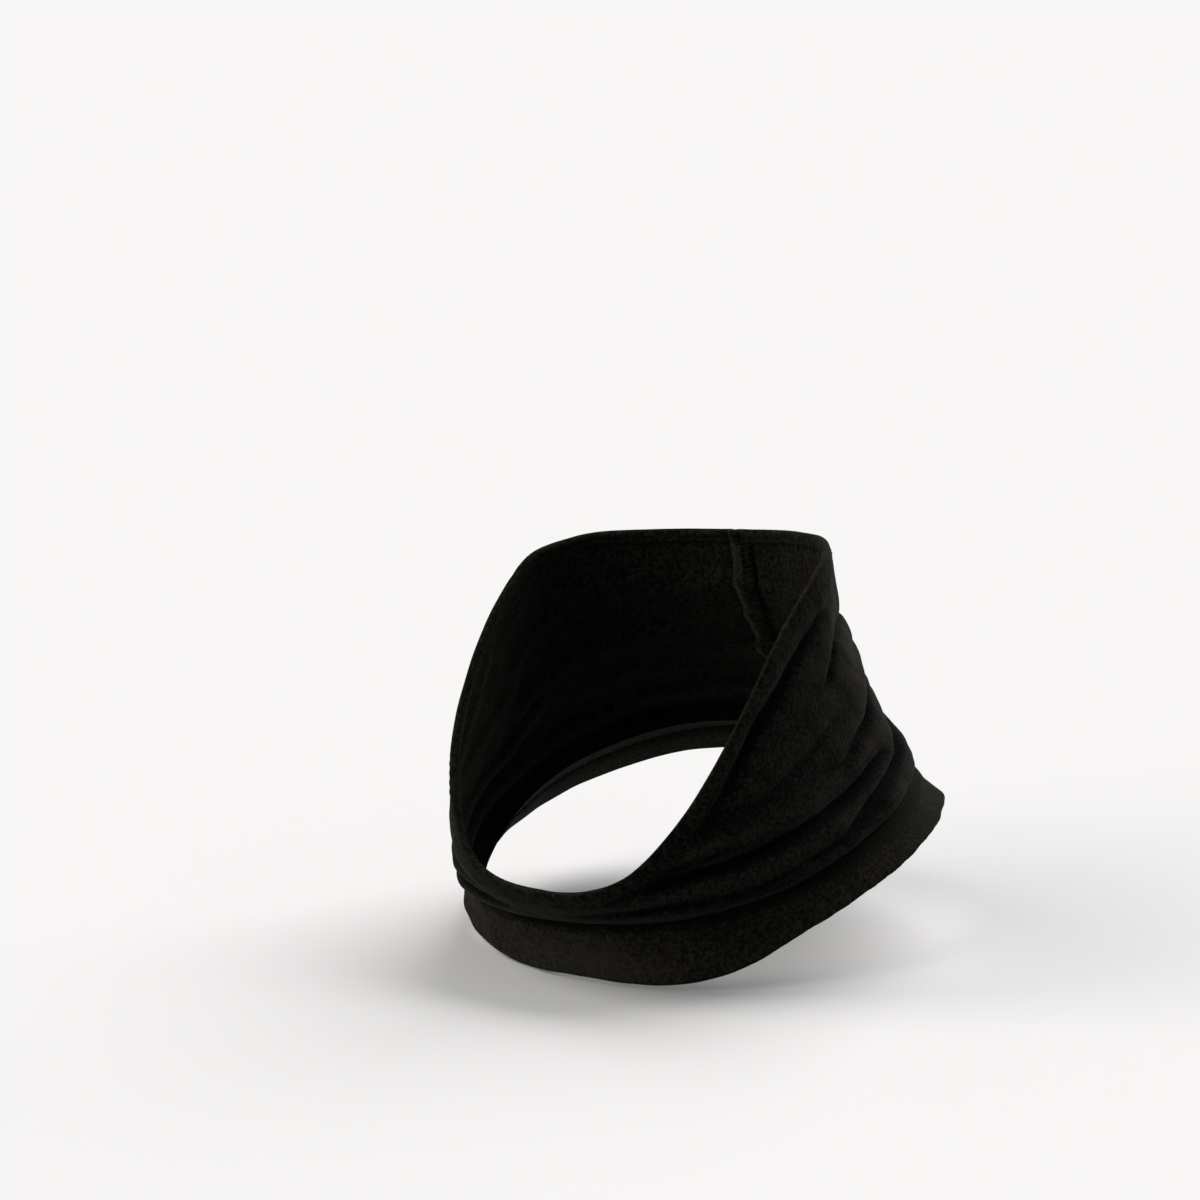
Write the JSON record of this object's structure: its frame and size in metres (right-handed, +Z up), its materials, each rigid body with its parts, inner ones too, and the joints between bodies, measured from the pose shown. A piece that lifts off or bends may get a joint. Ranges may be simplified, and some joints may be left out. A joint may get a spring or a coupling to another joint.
{
  "type": "neck warmer",
  "caption": "Short tube of soft black fleece worn round the neck, low under the chin, high behind, with slack rolls and turned hems.",
  "frame": {"origin": "centre of the lower opening, on the line of the wearer's neck, where the wearer holds the garment up", "axes": "+Z up along the neck, -Y towards the wearer's front, +X towards the wearer's left"},
  "size_m": [0.151, 0.168, 0.1281],
  "materials": {
    "fleece": "matte brushed knit, near black",
    "hem_fleece": "matte brushed knit, near black, turned double",
    "edge_fleece": "matte brushed knit, near black, turned edge with fine stitches"
  },
  "bodies": {
    "root": {"tube": "fleece", "lower_hem": "hem_fleece", "upper_hem": "edge_fleece"}
  },
  "joints": []
}
